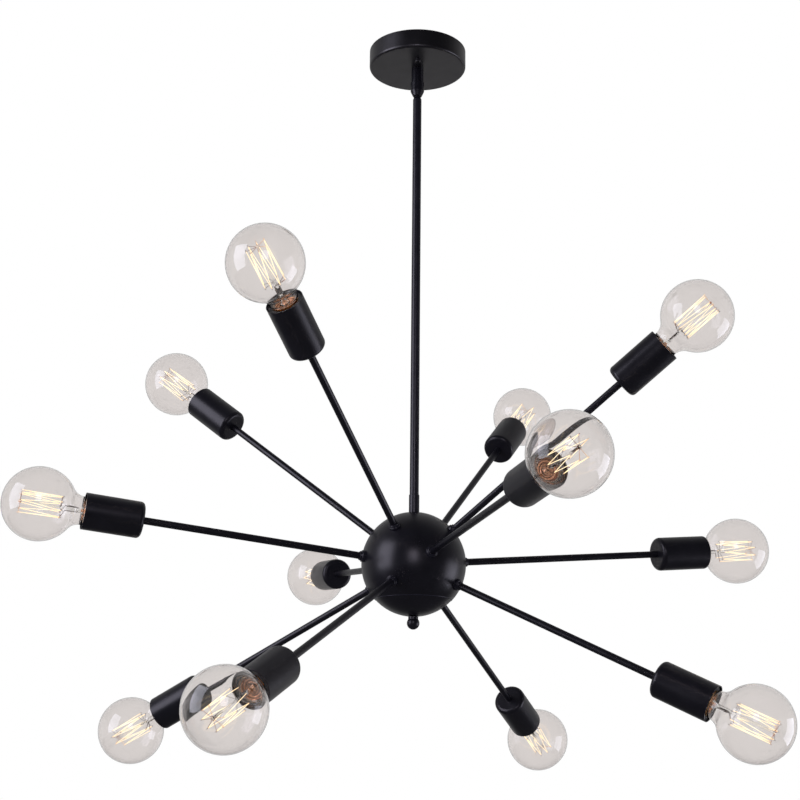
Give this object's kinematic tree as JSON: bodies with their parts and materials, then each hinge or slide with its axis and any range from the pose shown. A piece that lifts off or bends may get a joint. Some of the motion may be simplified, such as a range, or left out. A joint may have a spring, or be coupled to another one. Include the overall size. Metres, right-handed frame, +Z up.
{
  "type": "sputnik chandelier",
  "caption": "Sputnik chandelier: bare globe bulbs on straight arms round a hollow ball, hung by a rod from a shallow round canopy with a ball swivel.",
  "frame": {"origin": "on the light's axis in the ceiling plane, midway between the crossbar's two slots", "axes": "+Z up into the ceiling, the light hangs in -Z; the crossbar runs along Y; -Y faces the picture's camera and +X is to its right"},
  "size_m": [0.8818, 0.8818, 0.8688],
  "materials": {
    "black_paint": "satin black powder coat",
    "zinc_steel": "zinc plated",
    "earth_green": "green passivated screw",
    "nylon": "natural nylon",
    "black_moulding": "black phenolic moulding",
    "brass": "bright brass",
    "bulb_glass": "clear blown glass"
  },
  "bodies": {
    "ceiling_mount": {"canopy": "black_paint", "mounting_crossbar": "zinc_steel", "canopy_screws": "zinc_steel", "canopy_cap_nuts": "black_paint", "ground_screw": "earth_green", "swivel_tube": "black_paint", "swivel_lock_nut": "zinc_steel", "swivel_cup": "black_paint"},
    "swivel_seat": {"swivel_seat_ring": "nylon"},
    "pendant": {"swivel_ball": "black_paint", "down_rod": "black_paint", "hub_coupling": "black_paint", "hub_lock_nut": "zinc_steel", "hub_shell": "black_paint", "hub_strap": "zinc_steel", "cover_bolt": "zinc_steel", "arm_ferrules": "black_paint", "arm_lock_nuts": "zinc_steel", "holder_lock_nuts": "zinc_steel", "lampholders": "black_moulding", "screw_shells": "brass", "centre_contacts": "brass", "arm_01": "black_paint", "arm_02": "black_paint", "arm_03": "black_paint", "arm_04": "black_paint", "arm_05": "black_paint", "arm_06": "black_paint", "arm_07": "black_paint", "arm_08": "black_paint", "arm_09": "black_paint", "arm_10": "black_paint", "arm_11": "black_paint", "arm_12": "black_paint", "holder_cup_01": "black_paint", "holder_cup_02": "black_paint", "holder_cup_03": "black_paint", "holder_cup_04": "black_paint", "holder_cup_05": "black_paint", "holder_cup_06": "black_paint", "holder_cup_07": "black_paint", "holder_cup_08": "black_paint", "holder_cup_09": "black_paint", "holder_cup_10": "black_paint", "holder_cup_11": "black_paint", "holder_cup_12": "black_paint"},
    "hub_cover": {"hub_cover": "black_paint"},
    "finial": {"finial": "black_paint"},
    "bulb_01": {"bulb_01": "bulb_glass"},
    "bulb_02": {"bulb_02": "bulb_glass"},
    "bulb_03": {"bulb_03": "bulb_glass"},
    "bulb_04": {"bulb_04": "bulb_glass"},
    "bulb_05": {"bulb_05": "bulb_glass"},
    "bulb_06": {"bulb_06": "bulb_glass"},
    "bulb_07": {"bulb_07": "bulb_glass"},
    "bulb_08": {"bulb_08": "bulb_glass"},
    "bulb_09": {"bulb_09": "bulb_glass"},
    "bulb_10": {"bulb_10": "bulb_glass"},
    "bulb_11": {"bulb_11": "bulb_glass"},
    "bulb_12": {"bulb_12": "bulb_glass"}
  },
  "joints": [
    {"name": "swivel_spin", "type": "hinge", "parent": "ceiling_mount", "child": "swivel_seat", "pos_m": [0, 0, -0.0552], "axis": [0, 0, 1], "range_deg": [-180, 180]},
    {"name": "swivel_tilt", "type": "hinge", "parent": "swivel_seat", "child": "pendant", "pos_m": [0, 0, -0.0552], "axis": [1, 0, 0], "range_deg": [-12, 12]},
    {"name": "cover_slide", "type": "slide", "parent": "pendant", "child": "hub_cover", "axis": [0, 0, -1], "range_m": [0, 0.045]},
    {"name": "finial_turn", "type": "hinge", "parent": "hub_cover", "child": "finial", "pos_m": [0, 0, -0.706], "axis": [0, 0, 1], "continuous": true},
    {"name": "bulb_01_out", "type": "slide", "parent": "pendant", "child": "bulb_01", "axis": [0.3587, 0.7194, 0.5948], "range_m": [0, 0.036]},
    {"name": "bulb_02_out", "type": "slide", "parent": "pendant", "child": "bulb_02", "axis": [-0.7194, 0.3587, 0.5948], "range_m": [0, 0.036]},
    {"name": "bulb_03_out", "type": "slide", "parent": "pendant", "child": "bulb_03", "axis": [-0.3587, -0.7194, 0.5948], "range_m": [0, 0.036]},
    {"name": "bulb_04_out", "type": "slide", "parent": "pendant", "child": "bulb_04", "axis": [0.7194, -0.3587, 0.5948], "range_m": [0, 0.036]},
    {"name": "bulb_05_out", "type": "slide", "parent": "pendant", "child": "bulb_05", "axis": [0.944, 0.3158, 0.0958], "range_m": [0, 0.036]},
    {"name": "bulb_06_out", "type": "slide", "parent": "pendant", "child": "bulb_06", "axis": [-0.3158, 0.944, 0.0958], "range_m": [0, 0.036]},
    {"name": "bulb_07_out", "type": "slide", "parent": "pendant", "child": "bulb_07", "axis": [-0.944, -0.3158, 0.0958], "range_m": [0, 0.036]},
    {"name": "bulb_08_out", "type": "slide", "parent": "pendant", "child": "bulb_08", "axis": [0.3158, -0.944, 0.0958], "range_m": [0, 0.036]},
    {"name": "bulb_09_out", "type": "slide", "parent": "pendant", "child": "bulb_09", "axis": [0.4027, 0.8078, -0.4305], "range_m": [0, 0.036]},
    {"name": "bulb_10_out", "type": "slide", "parent": "pendant", "child": "bulb_10", "axis": [-0.8078, 0.4027, -0.4305], "range_m": [0, 0.036]},
    {"name": "bulb_11_out", "type": "slide", "parent": "pendant", "child": "bulb_11", "axis": [-0.4027, -0.8078, -0.4305], "range_m": [0, 0.036]},
    {"name": "bulb_12_out", "type": "slide", "parent": "pendant", "child": "bulb_12", "axis": [0.8078, -0.4027, -0.4305], "range_m": [0, 0.036]}
  ]
}
